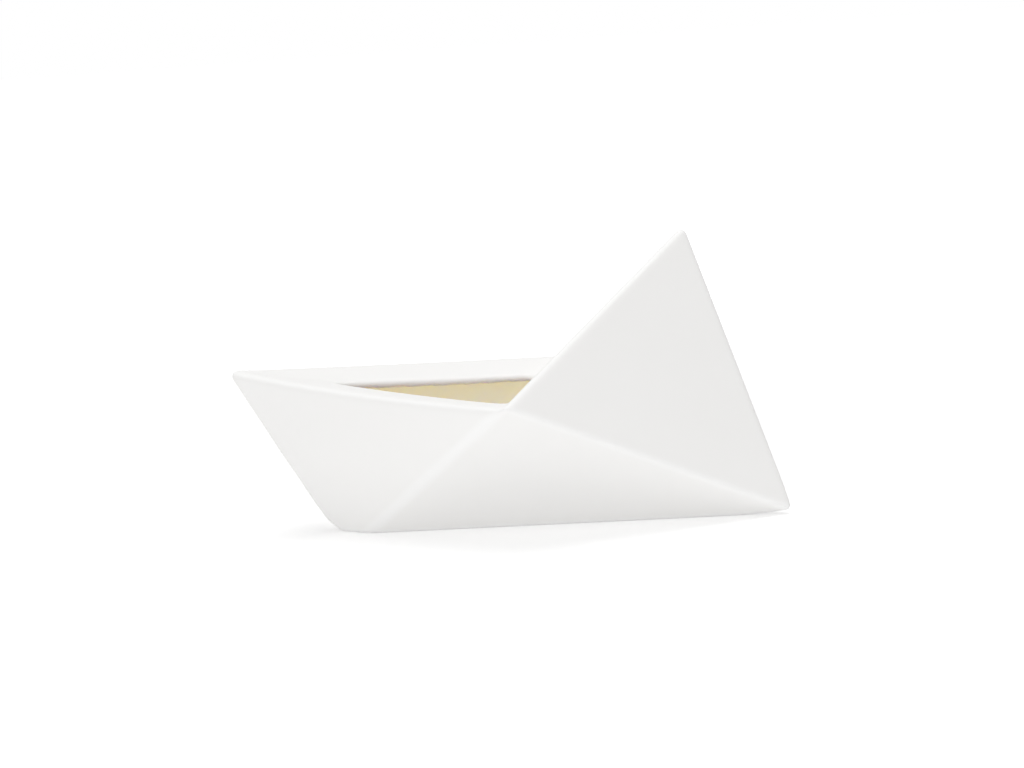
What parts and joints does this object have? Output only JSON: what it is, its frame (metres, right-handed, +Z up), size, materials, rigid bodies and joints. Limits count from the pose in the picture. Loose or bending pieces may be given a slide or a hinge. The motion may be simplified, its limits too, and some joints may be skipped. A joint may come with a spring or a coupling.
{
  "type": "boat-shaped vase",
  "caption": "White porcelain vase in the form of half a folded paper boat, with a sail at the stern and a triangular mouth in its deck.",
  "frame": {"origin": "middle of the vase's length and width, on the flat base that it stands on", "axes": "+X along the keel from the bow to the stern, +Z up"},
  "size_m": [0.2002, 0.1072, 0.1029],
  "materials": {
    "porcelain": "matt unglazed outside, cream inside"
  },
  "bodies": {
    "root": {"vase": "porcelain"}
  },
  "joints": []
}
